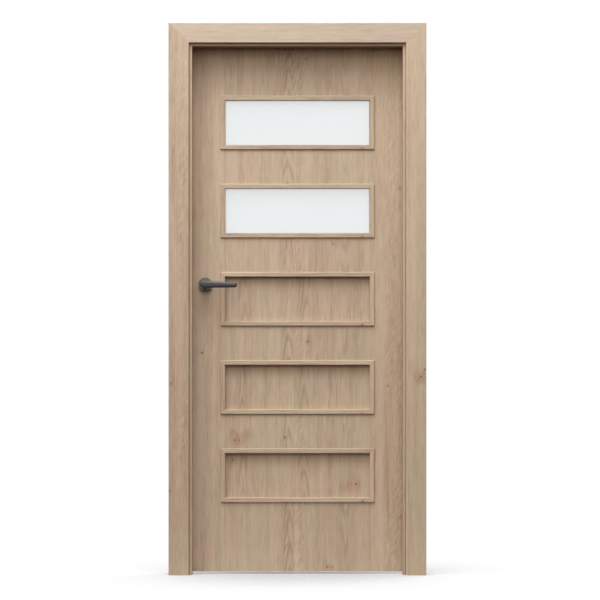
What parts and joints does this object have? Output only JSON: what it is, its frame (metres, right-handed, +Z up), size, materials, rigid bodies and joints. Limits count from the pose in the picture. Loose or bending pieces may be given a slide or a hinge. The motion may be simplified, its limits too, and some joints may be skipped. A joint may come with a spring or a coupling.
{
  "type": "interior door",
  "caption": "Interior door set: rebated oak stile-and-rail leaf with wood panels and frosted panes, lever handle, cased frame; the leaf swings and the lever turns.",
  "frame": {"origin": "On the wall side of the hinge-side lining, at floor level and in the middle of the wall's thickness.", "axes": "+X runs out of the doorway into the wall on the hinge side, +Y points to the side that the leaf opens to, +Z is up."},
  "size_m": [0.978, 0.208, 2.097],
  "materials": {
    "oak_frame": "light natural oak veneer, matt lacquer",
    "oak_leaf": "light natural oak veneer, vertical grain, matt lacquer",
    "oak_bead": "light natural oak veneer, matt lacquer",
    "frosted_glass": "satin-etched white glass",
    "seal_rubber": "soft brown seal",
    "handle_metal": "satin anthracite coating",
    "hinge_metal": "satin steel",
    "lock_metal": "satin steel"
  },
  "bodies": {
    "frame": {"casing_back_head": "oak_frame", "casing_back_left": "oak_frame", "casing_back_right": "oak_frame", "casing_front_head": "oak_frame", "casing_front_left": "oak_frame", "casing_front_right": "oak_frame", "door_seal": "seal_rubber", "hinge_frame_halves": "hinge_metal", "lining_head": "oak_frame", "lining_left": "oak_frame", "lining_right": "oak_frame", "strike_plate": "lock_metal"},
    "leaf": {"beads_back_1": "oak_bead", "beads_back_2": "oak_bead", "beads_back_3": "oak_bead", "beads_back_4": "oak_bead", "beads_back_5": "oak_bead", "beads_front_1": "oak_bead", "beads_front_2": "oak_bead", "beads_front_3": "oak_bead", "beads_front_4": "oak_bead", "beads_front_5": "oak_bead", "glass_1": "frosted_glass", "glass_2": "frosted_glass", "hinge_leaf_halves": "hinge_metal", "latch_bolt": "lock_metal", "lock_faceplate": "lock_metal", "panel_1": "oak_leaf", "panel_2": "oak_leaf", "panel_3": "oak_leaf", "rail_bottom": "oak_leaf", "rail_cross_1": "oak_leaf", "rail_cross_2": "oak_leaf", "rail_cross_3": "oak_leaf", "rail_cross_4": "oak_leaf", "rail_top": "oak_leaf", "rose_back": "handle_metal", "rose_front": "handle_metal", "stile_hinge": "oak_leaf", "stile_lock": "oak_leaf"},
    "handle": {"lever_back": "handle_metal", "lever_front": "handle_metal", "spindle": "lock_metal"}
  },
  "joints": [
    {"name": "leaf_swing", "type": "hinge", "parent": "frame", "child": "leaf", "pos_m": [0.009, 0.0745, 1], "axis": [0, 0, -1], "range_deg": [0, 170]},
    {"name": "lever_press", "type": "hinge", "parent": "leaf", "child": "handle", "pos_m": [-0.774, 0.062, 1.104], "axis": [0, 1, 0], "range_deg": [0, 45], "stiffness_Nm_per_rad": 1.5, "springref_deg": -28.65}
  ]
}
